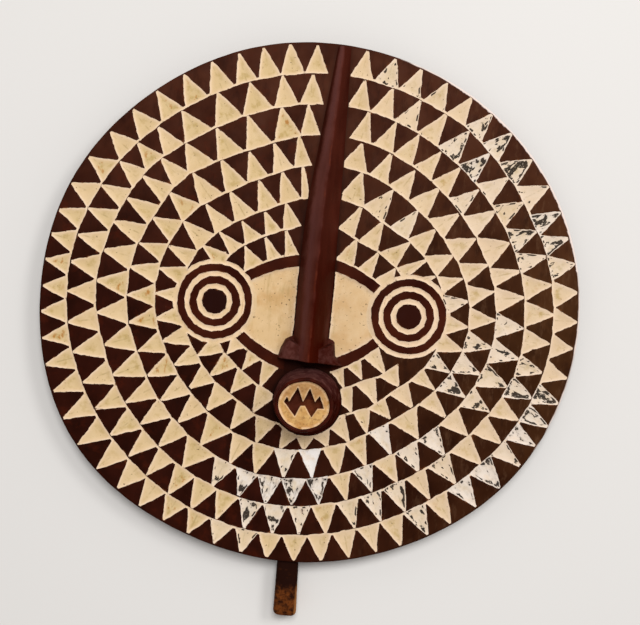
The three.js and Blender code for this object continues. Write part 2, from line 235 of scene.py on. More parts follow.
def mouth_far_side(angle):
    """Where a ray from the centre leaves the mouth and the room round it."""
    dx, dy = polar(1, angle)
    along = MOUTH_X * dx + MOUTH_Y * dy
    aside = abs(MOUTH_X * dy - MOUTH_Y * dx)
    reach = MOUTH_BASE + MOUTH_ROOM
    return along + math.sqrt(reach ** 2 - aside ** 2) if along > 0 and aside < reach else 0


def face_far_side(angle):
    """Where a ray from the centre leaves the face between the eyes."""
    near, far = 20.0, 130.0
    for _ in range(24):
        middle = (near + far) / 2
        x, y = polar(middle, angle)
        near, far = (middle, far) if cheek_line(x) < y < brow_line(x) else (near, middle)
    return near


def row_radius(row, angle):
    if row is ROWS[-1]:
        return face_far_side(angle)
    radius = row["radius"] - row["drop"] * cosine(angle) + row["aside"] * cosine(angle - 90)
    radius += row["wide"] * cosine(2 * (angle - WIDE_ANGLE))
    radius += TRIANGLE_HEIGHT * cosine(3 * (angle - TRIANGLE_ANGLE))
    radius += row["square"] * cosine(4 * (angle - SQUARE_ANGLE))
    radius += sum(
        height * math.exp(-((angle - middle) / spread) ** 2) for middle, height, spread in row["bulges"])
    below_mouth = row["radius"] > math.hypot(MOUTH_X, MOUTH_Y)
    return max(radius, mouth_far_side(angle)) if below_mouth else radius


# The grip's two ends: middle line, height on the mask and width
GRIP_TOP = (2.2, GRIP_SUNK - rim_radius(180), 21.0)
GRIP_END = (4.4, -GRIP_REACH - rim_radius(180), 23.6)


def brow_line(x):
    return BROW_TOP + BROW_TILT * (x - FACE_AXIS) - BROW_BOW * (x - FACE_AXIS) ** 2


def cheek_line(x):
    return CHEEK_BOTTOM + CHEEK_TILT * (x - FACE_AXIS) + CHEEK_BOW * (x - FACE_AXIS) ** 2


def nose_at(y):
    """Ridge line, half width and projection of the nose at a height on the mask."""
    heights = [station[0] for station in NOSE_STATIONS][::-1]
    return [float(np.interp(y, heights, [s[k] for s in NOSE_STATIONS][::-1])) for k in (1, 2, 3)]


# Where the mask stands in the frame

def mask_shift():
    """How far the layout's middle is moved to its place in the CAD box."""
    low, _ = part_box(NODE)
    west = min(polar(rim_radius(a), a)[0] for a in RIM_ANGLES)
    return np.array([low.x / MM - west, low.y / MM - GRIP_END[1], 0])


SHIFT = mask_shift()


def placed(points):
    return (np.asarray(points, float) + SHIFT) * MM


# The carver's hand

def unevenness(points, size, seed):
    """Smooth noise between about -1 and 1 at each point, with bumps of a given size."""
    points = np.asarray(points, float)
    flat = points.shape[1] == 2
    return np.array([
        noise.fractal(Vector((p[0] / size, p[1] / size, (0 if flat else p[2] / size) + seed)), 1, 2, 2)
        for p in points])


def hand_drawn(loop, reach=0.6, size=7.0, seed=3.0):
    """An outline as cut by hand: each point strays a little to the side."""
    loop = np.asarray(loop, float)
    stray = np.stack([unevenness(loop, size, seed), unevenness(loop, size, seed + 20)], axis=1)
    nicks = np.stack([unevenness(loop, 2.6, seed + 40), unevenness(loop, 2.6, seed + 60)], axis=1)
    return loop + reach * stray + 0.45 * reach * nicks


def divided(corners, step=EDGE_STEP, bow=0.0):
    """Points along the straight edges of a loop, each edge bowed outwards by a share of a millimetre."""
    corners = np.asarray(corners, float)
    points = []
    for a, b in zip(corners, np.roll(corners, -1, axis=0)):
        length = np.linalg.norm(b - a)
        count = max(1, round(length / step))
        side = np.array([b[1] - a[1], a[0] - b[0]]) / max(length, 1e-6)
        for t in np.arange(count) / count:
            points.append(a + (b - a) * t + side * bow * 4 * t * (1 - t))
    return np.array(points)


# Outlines of what is cut and painted

def chip_edges(row):
    """The edges between a row's chips, as pairs of angles in unbroken groups."""
    groups, group, start = [], [], row["start"]
    for end, count in row["runs"]:
        if count:
            marks = [start + (end - start) * i / count for i in range(count + 1)]
            group += zip(marks, marks[1:])
        else:
            groups.append(group)
            group = []
        start = end
    return groups + [group]


def chip_lean(row, angle, outer):
    """How far the chip's base lies to one side where the base line slopes."""
    slope = (row_radius(row, angle + 2) - row_radius(row, angle - 2)) / math.radians(4) / row["radius"]
    upright = 1.0 if row is ROWS[-1] else CHIP_UPRIGHT
    return math.degrees(-slope * upright * (outer - row_radius(row, angle)) / outer)


def outer_line(index, angle):
    """The line that the tips of a row stand on."""
    base = rim_radius(angle) - RIM_ROUNDING if index == 0 else row_radius(ROWS[index - 1], angle)
    return base - ROW_GAP


def chip_outline(index, first, second):
    """A pointed chip: narrow tip on the row outside, base on its own line."""
    row = ROWS[index]
    pitch = second - first
    middle = (first + second) / 2
    tip = middle + pitch * rng.normal(0, 0.03)
    outer = outer_line(index, tip)
    short = abs(rng.normal(0, 0.7))
    lean = chip_lean(row, middle, outer)
    half_tip = math.degrees(CHIP_TIP * rng.uniform(0.5, 1.2) / 2 / outer)
    low, high = first - lean + pitch * rng.normal(0, 0.02), second - lean + pitch * rng.normal(0, 0.02)
    corners = [
        polar(outer - short, tip - half_tip), polar(outer - short, tip + half_tip),
        polar(row_radius(row, high), high), polar(row_radius(row, low), low)]
    return divided(corners, bow=rng.uniform(-0.7, 0.5))


def strip_outline(row, group):
    """The thin cream line that joins the bases of a group of chips."""
    first, last = [a - chip_lean(row, a, row["radius"] + 29) for a in (group[0][0] + 0.4, group[-1][1] - 0.4)]
    angles = np.arange(first, last, math.degrees(EDGE_STEP / row["radius"]))
    inner = [polar(row_radius(row, a), a) for a in angles]
    outer = [polar(row_radius(row, a) + BASE_STRIP, a) for a in angles]
    return inner + outer[::-1]


def circle(x, y, radius, step=EDGE_STEP):
    count = max(12, round(2 * math.pi * radius / step))
    return [(x + radius * math.cos(2 * math.pi * i / count), y + radius * math.sin(2 * math.pi * i / count))
            for i in range(count)]


def cut_ring(x, y, radius):
    """A ring as cut with a straight blade, in short chords."""
    corners = circle(x, y, radius, 9.5)
    return divided([(a + rng.normal(0, 0.28), b + rng.normal(0, 0.28)) for a, b in corners])


def lens(upper, lower):
    """The outline between an upper and a lower curve."""
    across = np.arange(FACE_AXIS - FACE_REACH, FACE_AXIS + FACE_REACH + EDGE_STEP, EDGE_STEP)
    return [(x, lower(x)) for x in across] + [(x, upper(x)) for x in across[::-1]]


def nose_outline(margin):
    heights = np.linspace(NOSE_STATIONS[0][0], NOSE_STATIONS[-1][0] - 2, 160)
    sides = [nose_at(y) for y in heights]
    left = [(x - half - margin, y) for (x, half, _), y in zip(sides, heights)]
    right = [(x + half + margin, y) for (x, half, _), y in zip(sides, heights)]
    return left + right[::-1]


# What a part of the front is
DARK, CHIP, RING, PANEL, BAND, PUPIL = range(6)
CREAM = (CHIP, RING, PANEL)
# The kinds of outline that decide it
RIM_LINE, CHIP_LINE, EYE_LINE, FACE_LINE, PANEL_LINE, SOLID_LINE = range(6)


def chip_facts(index, first, second):
    """A chip's axis, from the point of its tip to its foot, its luck and its wear."""
    middle = (first + second) / 2
    tip = np.array(polar(outer_line(index, middle), middle))
    lean = chip_lean(ROWS[index], middle, outer_line(index, middle))
    foot = np.array(polar(row_radius(ROWS[index], middle - lean), middle - lean))
    return dict(tip=tip, down=(foot - tip) / np.linalg.norm(foot - tip), luck=rng.random(),
                wear=chip_wear(index, middle))


def front_outlines():
    """Every outline on the front: (kind, points, the chip's facts or None)."""
    outlines = []

    def add(kind, points, facts=None):
        outlines.append((kind, np.asarray(points), facts))

    add(RIM_LINE, [polar(rim_radius(a) - RIM_ROUNDING, a) for a in RIM_ANGLES])
    for index, row in enumerate(ROWS):
        for group in filter(None, chip_edges(row)):
            for first, second in group:
                outline = hand_drawn(chip_outline(index, first, second))
                add(CHIP_LINE, outline, chip_facts(index, first, second))
            add(CHIP_LINE, hand_drawn(strip_outline(row, group), 0.3))
    add(CHIP_LINE, hand_drawn(divided(STRAY_BLOCK)))
    for x, y in EYES:
        for radius in np.ravel(EYE_RINGS):
            add(EYE_LINE, hand_drawn(cut_ring(x, y, radius), 0.35, 5.0, radius))
    add(FACE_LINE, hand_drawn(lens(brow_line, cheek_line)))
    inner = lens(lambda x: brow_line(x) - BROW_BAND, lambda x: cheek_line(x) + CHEEK_BAND)
    add(PANEL_LINE, hand_drawn(inner))
    add(SOLID_LINE, hand_drawn(nose_outline(NOSE_MARGIN), 0.7, 9.0))
    add(SOLID_LINE, circle(MOUTH_X, MOUTH_Y, MOUTH_BASE + MOUTH_MARGIN))
    return outlines


def gap_to(points):
    """A function that tells how far a place is from the nearest of the points, across the face."""
    tree = KDTree(len(points))
    for i, (x, y) in enumerate(points):
        tree.insert((x, y, 0), i)
    tree.balance()
    return lambda place: tree.find((place[0], place[1], 0))[2]


def scattered(step, keep_off, gap, margin):
    """A jittered grid of points on the board, clear of the rim and of the outline points."""
    reach = DISC_RADIUS + 12
    ys = np.arange(-reach, reach, step * math.sqrt(3) / 2)
    points = []
    for k, y in enumerate(ys):
        xs = np.arange(-reach, reach, step) + (k % 2) * step / 2
        points.append(np.stack([xs, np.full_like(xs, y)], axis=1))
    points = np.concatenate(points)
    points += rng.uniform(-0.22, 0.22, points.shape) * step
    off = gap_to(keep_off)
    return np.array([p for p in points if in_disc(p, margin) and off(p) > gap])


def turning_left(loop, start):
    """The indices of a loop's points, in anticlockwise order."""
    x, y = np.asarray(loop).T
    order = list(range(start, start + len(loop)))
    return order if np.sum(x * np.roll(y, -1) - np.roll(x, -1) * y) > 0 else order[::-1]


def triangulated(loops, fill):
    """Triangles that fill the first loop and keep to the others: places, triangles, and loops round each."""
    corners = [Vector((float(x), float(y))) for x, y in np.concatenate([*loops, fill])]
    starts = np.cumsum([0] + [len(loop) for loop in loops])
    faces = [turning_left(loop, start) for loop, start in zip(loops, starts)]
    verts, _, triangles, _, _, around = delaunay_2d_cdt(corners, [], faces, 0, 1e-5)
    inside = [i for i, ids in enumerate(around) if 0 in ids]
    return (np.array([[v.x, v.y] for v in verts]), np.array([list(triangles[i]) for i in inside]),
            [around[i] for i in inside])


def in_disc(point, margin):
    angle = math.degrees(math.atan2(point[0], point[1]))
    return math.hypot(*point) < rim_radius(angle) - RIM_ROUNDING - margin


def kind_of(face_ids, kinds):
    """What a triangle of the front is, from the outlines round it."""
    found = [kinds[i] for i in face_ids]
    circles = found.count(EYE_LINE)
    if circles:
        return RING if circles % 2 == 1 else (PUPIL if circles == 2 * len(EYE_RINGS) else BAND)
    if SOLID_LINE in found:
        return DARK
    if PANEL_LINE in found:
        return PANEL
    if FACE_LINE in found:
        return BAND
    return CHIP if CHIP_LINE in found else DARK


def edge_pairs(triangles):
    """Each inner edge with the two triangles beside it."""
    edges = np.concatenate([triangles[:, [0, 1]], triangles[:, [1, 2]], triangles[:, [2, 0]]])
    edges = np.sort(edges, axis=1)
    owner = np.tile(np.arange(len(triangles)), 3)
    order = np.lexsort((edges[:, 1], edges[:, 0]))
    edges, owner = edges[order], owner[order]
    twin = np.all(edges[1:] == edges[:-1], axis=1)
    return edges[1:][twin], owner[1:][twin], owner[:-1][twin]


def chip_wear(index, angle):
    """How much a chip has flaked and how white it is."""
    for worn, flaked, white in WORN_CHIPS.get(index + 1, []):
        if abs((angle - worn + 180) % 360 - 180) < WORN_REACH:
            return flaked, white
    return 0.0, 0.0


def front_surface():
    """The carved front as triangles, with what each is, each chip's wear and the places along the chips."""
    outlines = front_outlines()
    loops = [points for _, points, _ in outlines]
    kinds = [kind for kind, _, _ in outlines]
    chips = {k: facts for k, (_, _, facts) in enumerate(outlines) if facts}
    fill = scattered(GRID_STEP, np.concatenate(loops), 0.75, 1.2)
    points, triangles, around = triangulated(loops, fill)
    kind = np.array([kind_of(ids, kinds) for ids in around])
    wear = np.zeros((len(triangles), 3))
    on_chip = np.full((len(points), 2), OFF_CHIP)
    for i, (corners, ids) in enumerate(zip(triangles, around)):
        found = [chips[k] for k in ids if k in chips]
        if found:
            chip = found[0]
            down = chip["down"]
            wear[i] = (*chip["wear"], chip["luck"])
            off = points[corners] - chip["tip"]
            on_chip[corners] = np.column_stack([off @ np.array([-down[1], down[0]]), off @ down])
    return points, triangles, kind, wear, on_chip


def corner_depth(points):
    """How far into the corner at the foot of the nose or the mouth a point lies, for the painted shade and
    the ragged paint edge there: 1 at the corner.
    """
    x, y = points.T
    axis, half, _ = np.array([nose_at(v) for v in y]).T
    beside_nose = np.where(y > NOSE_BOTTOM, np.abs(x - axis) - half, np.hypot(y - NOSE_BOTTOM, 9))
    beside_mouth = np.abs(np.hypot(x - MOUTH_X, y - MOUTH_Y) - MOUTH_BASE)
    near = np.clip(1 - np.minimum(beside_nose, beside_mouth) / 5, 0, 1) * np.interp(y, (20, 90), (1, 0.45))
    # Between the nostrils and the mouth the painted shade lies evenly
    between = (np.abs(x - axis) < half + 7) & (y < NOSE_BOTTOM + 2) & (y > MOUTH_Y + MOUTH_BASE - 10)
    return np.where(between, 0.7, near)


def paint_distance(points, triangles, kind):
    """How far each point is from the nearest line between dark and cream, and those lines."""
    cream = np.isin(kind, CREAM)
    edges, one, other = edge_pairs(triangles)
    lines = edges[cream[one] != cream[other]]
    first, second = points[lines[:, 0]], points[lines[:, 1]]
    gap = gap_to(np.concatenate([first * (1 - t) + second * t for t in (0, 1 / 3, 2 / 3)]))
    distance = np.array([gap(p) for p in points])
    distance[np.unique(lines)] = 0
    return distance, lines


def front_heights(points, triangles, kind, distance):
    """The front's relief: pits under the chips, grooves round the pupils and sunk panels."""
    cut = np.where(np.isin(kind, CREAM), kind, DARK)
    of_point = np.zeros(len(points), int)
    for corner in range(3):
        np.maximum.at(of_point, triangles[:, corner], cut)
    tool = unevenness(points, TOOL_MARK_SIZE, 11.0)
    swell = unevenness(points, SWELL_SIZE, 5.0)
    # Each falls off from the painted line at its own slope, and is rougher away from it
    pit = CHIP_DEPTH * (1 - np.exp(-CHIP_SLOPE * distance / CHIP_DEPTH * 1.35))
    pit += np.minimum(distance / 3, 1) * 0.22 * tool
    groove = np.minimum(distance * 0.95, GROOVE_DEPTH)
    panel = np.minimum(distance * 1.1, PANEL_DEPTH) + np.minimum(distance / 6, 1) * (0.3 * tool + 0.3)
    soft_edge = EDGE_RISE * np.exp(-distance / EDGE_REACH)
    plain = 0.08 * (tool + 1)
    depth = np.choose(of_point, [plain, pit, groove, panel, plain, plain]) + soft_edge
    return FRONT - FRONT_SINK - SWELL * swell - np.where(distance > 0, depth, EDGE_RISE)


# Meshes

def add_object(name, data):
    made = bpy.data.objects.new(name, data)
    bpy.context.collection.objects.link(made)
    return made


def mesh_object(name, points, faces, material_of_face, materials):
    mesh = bpy.data.meshes.new(name)
    mesh.from_pydata([tuple(p) for p in placed(points)], [], [list(f) for f in faces])
    mesh.update()
    for material in materials:
        mesh.materials.append(material)
    mesh.polygons.foreach_set("material_index", np.asarray(material_of_face, np.int32))
    mesh.polygons.foreach_set("use_smooth", np.full(len(mesh.polygons), True))
    return add_object(name, mesh)


def give_floats(piece, name, values, domain="POINT", others=0.0):
    """Stores a number at the first points or faces, and one for all the others."""
    layer = piece.data.attributes.new(name, "FLOAT", domain)
    filled = np.full(len(layer.data), others, np.float32)
    filled[:len(values)] = values
    layer.data.foreach_set("value", filled)


def sharpen(piece, pairs):
    """Keeps the given edges crisp under smooth shading."""
    wanted = {tuple(sorted(pair)) for pair in pairs.tolist()}
    for edge in piece.data.edges:
        edge.use_edge_sharp = tuple(sorted(edge.vertices)) in wanted


def strip_faces(lower, upper):
    """Triangles between two loops of equally many points."""
    faces = []
    for i in range(len(lower)):
        j = (i + 1) % len(lower)
        faces += [(lower[i], lower[j], upper[j]), (lower[i], upper[j], upper[i])]
    return faces


def strips(rows, count):
    """Triangles through a number of loops, with so many points each, that follow one another."""
    loops = [range(k * count, (k + 1) * count) for k in range(rows)]
    return [face for lower, upper in zip(loops, loops[1:]) for face in strip_faces(lower, upper)]


def rim_levels():
    """The rim's profile from front to back: inset from the outline and height."""
    bend = np.radians([30, 60, 90])
    quarter = [(RIM_ROUNDING * (1 - math.sin(a)), RIM_ROUNDING * (1 - math.cos(a))) for a in bend]
    front = [(inset, FRONT - FRONT_SINK - fall) for inset, fall in quarter]
    low, high = RIM_ROUNDING, front[-1][1]
    side = [(0.0, high + (low - high) * k / SIDE_STEPS) for k in range(1, SIDE_STEPS)]
    return front + side + quarter[::-1]


def back_surface(rim_loop):
    """The back: a flat face with adze marks round a hollow."""
    x, y, half_width, half_height = HOLLOW
    turn = np.arange(HOLLOW_STEPS) * 2 * math.pi / HOLLOW_STEPS
    loops = [rim_loop] + [
        np.stack([x + (half_width - inset) * np.cos(turn), y + (half_height - inset) * np.sin(turn)], 1)
        for inset in (0.0, HOLLOW_SLOPE)]
    points, triangles, _ = triangulated(loops, scattered(BACK_STEP, np.concatenate(loops), 2.2, 4))
    ellipse = np.hypot((points[:, 0] - x) / half_width, (points[:, 1] - y) / half_height)
    share = np.clip((1 - ellipse) * min(half_width, half_height) / HOLLOW_SLOPE, 0, 1)
    smooth_share = share * share * (3 - 2 * share)
    marks = np.abs(unevenness(points, 26.0, 41.0)) * (0.7 + 1.3 * smooth_share)
    height = HOLLOW_DEPTH * smooth_share + marks * np.minimum(share * 3 + 0.55, 1.6)
    return points, triangles, height


def board():
    """The disc: carved front, rounded rim and plainer back as one closed mesh."""
    points, triangles, kind, wear, on_chip = front_surface()
    distance, lines = paint_distance(points, triangles, kind)
    heights = front_heights(points, triangles, kind, distance)
    heights[:RIM_STEPS] = FRONT - FRONT_SINK
    shell = [np.column_stack([points, heights])]
    loops = [np.arange(RIM_STEPS)]
    total = len(points)
    levels = rim_levels()
    for level, (inset, height) in enumerate(levels):
        ring = np.array([polar(rim_radius(a) - max(inset, RIM_SETBACK), a) for a in RIM_ANGLES])
        flat = np.full(RIM_STEPS, height)
        if level < len(levels) - 1:
            nick = np.abs(unevenness(np.column_stack([ring, flat]), 20.0, 60.0)) * RIM_NICK
            ring *= (1 - nick / DISC_RADIUS)[:, None]
        shell.append(np.column_stack([ring, flat]))
        loops.append(np.arange(total, total + RIM_STEPS))
        total += RIM_STEPS
    back_points, back_triangles, back_heights = back_surface(shell[-1][:, :2])
    shell.append(np.column_stack([back_points, back_heights])[RIM_STEPS:])
    index_of = np.concatenate([loops[-1], np.arange(total, total + len(shell[-1]))])
    side = [face for upper, lower in zip(loops, loops[1:]) for face in strip_faces(upper, lower)]
    back_faces = index_of[back_triangles][:, ::-1]
    faces = np.concatenate([triangles, np.array(side), back_faces])
    material = np.concatenate([
        np.isin(kind, CREAM).astype(int), np.zeros(len(side), int), np.full(len(back_faces), 2)])
    paints = [dark_paint(), cream_paint(), bare_back()]
    piece = mesh_object("carved_board", np.concatenate(shell), faces, material, paints)
    give_floats(piece, "paint_edge", np.minimum(distance, FAR_IN), others=FAR_IN)
    for name, values in zip(("aside", "along", "corner"), (*on_chip.T * MM, corner_depth(points))):
        give_floats(piece, name, values)
    eye_part = np.where(kind == PUPIL, 1.0, 0.5 * (kind == BAND))
    names = ("flake", "whiteness", "luck", "eye_part", "panel")
    for name, values in zip(names, (*wear.T, eye_part, kind == PANEL)):
        give_floats(piece, name, values, "FACE")
    # A painted highlight along the rim's rounded edge on the upper right, where it catches the light
    rim_highlight = np.zeros(total)
    angles = np.array(RIM_ANGLES)
    rim_gleam = np.clip(1.25 - np.abs((angles - 70) / 60) ** 3, 0, 1) * (1 - 0.35 * (angles > 78))
    for ring, share in zip(loops, (0.7, 1.0, 1.0, 1.0, 0.9)):
        rim_highlight[ring] = rim_gleam * share
    give_floats(piece, "rim_highlight", rim_highlight)
    sharpen(piece, lines)
    return piece


def held(share):
    """A share kept between 0 and 1."""
    return min(1.0, max(0.0, share))


def stands_out(side, y):
    """How far a nostril stands out beyond the nose's side."""
    heights, widths = zip(*side[::-1])
    return float(np.interp(y, heights, widths))


def nose_section(y, u):
    """A point over the nose, from its left edge at -1 to its right at 1: place, height, paint, nostril."""
    axis, half, rise = nose_at(y)
    reach = half + stands_out(NOSTRIL_RIGHT if u > 0 else NOSTRIL_LEFT, y)
    x = axis + u * reach
    aside = abs(x - axis)
    across = min(1.0, (math.hypot(aside, RIDGE) - RIDGE) / (math.hypot(half, RIDGE) - RIDGE))
    gable = rise * (1 - across ** 1.1) ** 0.95
    # Near the ridge the nostril starts lower down
    starts = NOSTRIL_TOP - 2 - 8.5 * (1 - held((aside - 4) / 18))
    share = held((starts - y) / 3.0)
    arch = min(1.0, (1 - abs(u)) * reach / NOSTRIL_ROUNDING)
    bulge = 2 + NOSTRIL_RISE[int(u > 0)] * math.sqrt(1 - (1 - arch) ** 2)
    nostril = bulge * share * share * (3 - 2 * share)
    if nostril > gable:
        return x, nostril, -0.5, 1.0
    paint = (x - axis) / half
    return x, gable, paint if paint < 0.5 or y < 60 else 0.5, 0.0


def nose():
    """The nose ridge with its nostrils, rising towards its lower end."""
    heights = np.concatenate([
        np.linspace(NOSE_STATIONS[0][0], NOSTRIL_TOP + 3, 150),
        np.arange(NOSTRIL_TOP + 2.5, NOSTRIL_TOP - 12, -0.5),
        np.linspace(NOSTRIL_TOP - 12.3, NOSE_BOTTOM, 18)])
    # The lower end's rounding: how far it goes down the mask and into the nose
    rows = [(y, 0.0, 0.0) for y in heights] + [(NOSE_BOTTOM, 0.5, 0.4), (NOSE_BOTTOM, 0.9, 1.3)]
    points, paint, lump = [], [], []
    for y, push, drop in rows:
        across, height, shade, nostril = zip(*[nose_section(y, u) for u in np.linspace(-1, 1, NOSE_COLUMNS)])
        tilt = NOSE_TILT * held((-15 - y) / 25)
        axis = nose_at(y)[0]
        top = [(x, y - push + tilt * (x - axis), FRONT - NOSE_SEAT + max(h - drop, 0))
               for x, h in zip(across, height)]
        points += top + [(x, ty, FRONT - NOSE_ROOT) for x, ty, _ in top[::-1]]
        paint += [*shade] + [0.0] * NOSE_COLUMNS
        lump += [*nostril] + [0.0] * NOSE_COLUMNS
    count = 2 * NOSE_COLUMNS
    last = (len(rows) - 1) * count
    faces = strips(len(rows), count)
    for i in range(NOSE_COLUMNS - 1):
        j = count - 1 - i
        faces += [(i, j, i + 1), (i + 1, j, j - 1)]
        faces += [(last + i, last + i + 1, last + j), (last + i + 1, last + j - 1, last + j)]
    points = np.array(points)
    lifted = points[:, 2] > FRONT
    cut = unevenness(points, 16.0, 81.0) * 0.35 + unevenness(points, 5.0, 83.0) * 0.12
    points[lifted, 0] += cut[lifted]
    points[lifted, 2] -= np.abs(cut[lifted]) * 0.8
    piece = mesh_object("nose", points, [f[::-1] for f in faces], np.zeros(len(faces)), [nose_paint()])
    give_floats(piece, "across", paint)
    give_floats(piece, "lump", lump)
    return piece


def mouth_profile():
    """The tube's outer wall and lip: radius and height above the face."""
    shoulder = MOUTH_RISE - LIP_ROUNDING
    wall = [(MOUTH_BASE + (MOUTH_END - MOUTH_BASE) * t, shoulder * t) for t in np.linspace(0, 1, WALL_STEPS)]
    middle = MOUTH_END - LIP_ROUNDING
    lip = [(middle + LIP_ROUNDING * math.cos(a), shoulder + LIP_ROUNDING * math.sin(a))
           for a in np.radians([25, 50, 75, 100])]
    inner = [(DISC_EDGE + 0.3, MOUTH_RISE - 0.5), (DISC_EDGE, DISC_LEVEL)]
    return [(MOUTH_BASE, -MOUTH_ROOT)] + wall + lip + inner


def leaned(points):
    """Moves points of the upright mouth to its place, leaning as it rises."""
    points = np.array(points, float)
    share = np.maximum(points[:, 2], 0) / MOUTH_RISE
    points[:, 1] *= 1 - (1 - MOUTH_SQUASH) * share
    points[:, 0] += MOUTH_X + MOUTH_LEAN[0] * share
    points[:, 1] += MOUTH_Y + MOUTH_LEAN[1] * share
    points[:, 2] += FRONT
    return points


def mouth_rings():
    """The tube's wall and lip, ring by ring, with a hand-cut wobble."""
    turn = np.arange(MOUTH_STEPS) * 2 * math.pi / MOUTH_STEPS
    rings = []
    for radius, height in mouth_profile():
        ring = np.column_stack([radius * np.cos(turn), radius * np.sin(turn), np.full(MOUTH_STEPS, height)])
        wobble = unevenness(ring, 14.0, 91.0) * (0.5 if height < MOUTH_RISE - 1 else 0.9)
        ring[:, :2] *= (1 + wobble / MOUTH_BASE)[:, None]
        rings.append(ring)
    return rings


def disc_and_hole(edge, opening):
    """The flat middle of the mouth: places, the disc's triangles and those of the zigzag opening."""
    gap = gap_to(np.concatenate([edge, opening]))
    grid = np.arange(-MOUTH_END, MOUTH_END, DISC_STEP)
    fill = [(x + (k % 2) * DISC_STEP / 2, y) for k, y in enumerate(grid) for x in grid]
    fill = [p for p in fill if math.hypot(*p) < DISC_EDGE - 1.2 and gap(p) > 0.7]
    flat, triangles, around = triangulated([edge, opening], fill)
    in_hole = np.array([1 in ids for ids in around])
    return flat, triangles[~in_hole], triangles[in_hole]


def mouth():
    """The tube, its sunk disc and the zigzag opening in it."""
    rings = mouth_rings()
    edge = rings[-1][:, :2]
    opening = hand_drawn(divided(TOOTH_LINE[::-1], 1.1), 0.25, 4.0)
    flat, disc, hole = disc_and_hole(edge, opening)
    surface = np.column_stack([flat, DISC_LEVEL + 0.25 * unevenness(flat, 6.0, 95.0)])
    floor_level = DISC_LEVEL - TOOTH_DEPTH + 0.4 * unevenness(flat, 5.0, 97.0)
    root = [[0.0, 0.0, -MOUTH_ROOT]]
    points = np.concatenate(rings + [surface, np.column_stack([flat, floor_level]), root])
    base = len(rings) * MOUTH_STEPS
    deep = base + len(surface)
    tube = strips(len(rings), MOUTH_STEPS)
    ring_of = np.arange(len(tube)) // (2 * MOUTH_STEPS)
    tube_part = np.where(ring_of == len(rings) - 2, DISC, np.where(ring_of >= WALL_STEPS, LIP, TUBE))
    last = len(points) - 1
    fan = [(last, (i + 1) % MOUTH_STEPS, i) for i in range(MOUTH_STEPS)]
    disc = np.where(disc < MOUTH_STEPS, base - MOUTH_STEPS + disc, base + disc)
    brink = turning_left(opening, MOUTH_STEPS)
    wall = strip_faces([base + i for i in brink], [deep + i for i in brink])
    faces = np.concatenate([tube, fan, disc, wall, deep + hole])
    part = np.concatenate([
        tube_part, np.full(len(fan), TUBE), np.full(len(disc), DISC), np.full(len(wall) + len(hole), INSIDE)])
    used = np.unique(faces)
    points = points[used]
    paints = [tube_paint(), mouth_disc(), mouth_inside(), lip_paint()]
    piece = mesh_object("mouth", leaned(points), np.searchsorted(used, faces), part, paints)
    around = np.arctan2(points[:, 1], points[:, 0])
    # Which way round the tube a point faces, for the wall's painted sheen above and painted shade below
    give_floats(piece, "above", np.cos(around - math.radians(105)))
    # Where the disc takes a painted highlight along its edge, weaker at the top, and is paler along the teeth
    inside = DISC_EDGE - np.hypot(points[:, 0], points[:, 1])
    by_rim = np.clip(1.4 - inside / 1.8, 0, 1) * np.clip(1.1 - 0.6 * np.sin(around), 0, 1)
    gap = gap_to(opening)
    by_tooth = np.clip([1.3 - gap(p) / 1.2 for p in points], 0, 1)
    give_floats(piece, "disc_edge", np.maximum(by_rim, 0.8 * by_tooth))
    return piece


def squared(value):
    """A cosine or sine pushed outwards, so that a circle becomes a rounded square."""
    return math.copysign(abs(value) ** GRIP_SQUARE, value)


def grip():
    """The grip below the board: a slightly tapered bar with rounded edges and end."""
    turn = np.arange(GRIP_STEPS) * 2 * math.pi / GRIP_STEPS
    stations = [(y, 0.0) for y in np.linspace(GRIP_TOP[1], GRIP_END[1] + GRIP_CORNER, GRIP_STEPS)]
    stations += [(GRIP_END[1] + GRIP_CORNER * (1 - math.sin(a)), 1 - math.cos(a))
                 for a in np.radians([18, 36, 54, 72, 86])]
    points = []
    for y, pull in stations:
        t = (GRIP_TOP[1] - y) / (GRIP_TOP[1] - GRIP_END[1])
        x = GRIP_TOP[0] + (GRIP_END[0] - GRIP_TOP[0]) * t
        half = (GRIP_TOP[2] + (GRIP_END[2] - GRIP_TOP[2]) * t) / 2 - GRIP_CORNER * pull
        deep = GRIP_THICKNESS / 2 - 2.5 * pull
        points += [
            (x + half * squared(math.cos(a)), y, GRIP_MIDDLE + deep * squared(math.sin(a))) for a in turn]
    points = np.array(points)
    toward = points - np.array([3.0, 0, GRIP_MIDDLE])
    toward[:, 1] = 0
    shave = np.abs(unevenness(points, 11.0, 71.0)) * 0.35
    points -= toward / np.linalg.norm(toward, axis=1)[:, None] * shave[:, None]
    last = len(points) - GRIP_STEPS
    faces = strips(len(stations), GRIP_STEPS)
    faces += [(0, i + 1, i) for i in range(1, GRIP_STEPS - 1)]
    faces += [(last, last + i, last + i + 1) for i in range(1, GRIP_STEPS - 1)]
    return mesh_object("grip", points, [f[::-1] for f in faces], np.zeros(len(faces)), [grip_paint()])


# Materials

def linear(*rgb):
    """A colour given as 0-255 screen values, for a shader."""
    return tuple(((c / 255 + 0.055) / 1.055) ** 2.4 if c > 10.3 else c / 255 / 12.92 for c in rgb) + (1.0,)


